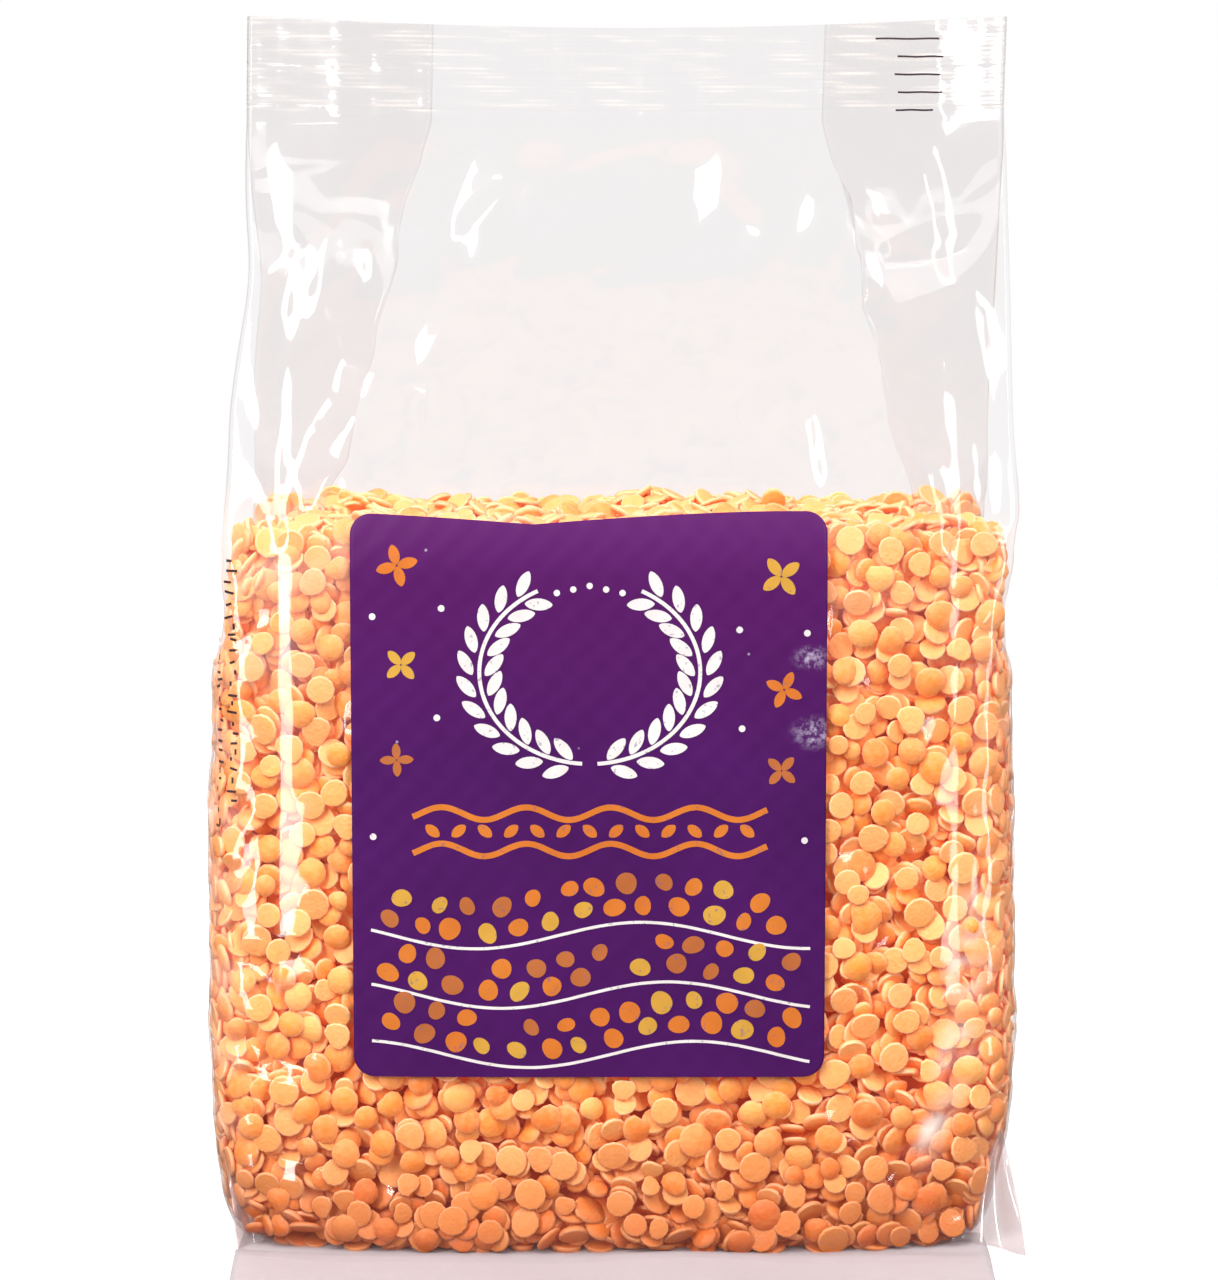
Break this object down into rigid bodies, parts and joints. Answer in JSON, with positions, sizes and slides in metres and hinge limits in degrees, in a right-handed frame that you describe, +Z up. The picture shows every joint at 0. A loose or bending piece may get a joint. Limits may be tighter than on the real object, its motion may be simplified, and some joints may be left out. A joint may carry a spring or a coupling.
{
  "type": "bag of red split lentils",
  "caption": "Clear side-gusseted bag standing upright, filled to over half with red split lentils, with a crimped top seal and a round-cornered front label.",
  "frame": {"origin": "middle of the footprint's box, on the surface that the bag stands on", "axes": "+Z up to the top seal, the label faces -Y, +X to the viewer's right when looking at the label"},
  "size_m": [0.1186, 0.0758, 0.1766],
  "materials": {
    "filled_film": "thin clear glossy film over orange split lentils",
    "label_paper": "varnished purple paper with a plain coloured print",
    "clear_film": "clear glossy polypropylene film",
    "lentils": "dry orange split lentils, slightly waxy"
  },
  "bodies": {
    "root": {"bag": "filled_film", "label": "label_paper"}
  },
  "joints": []
}
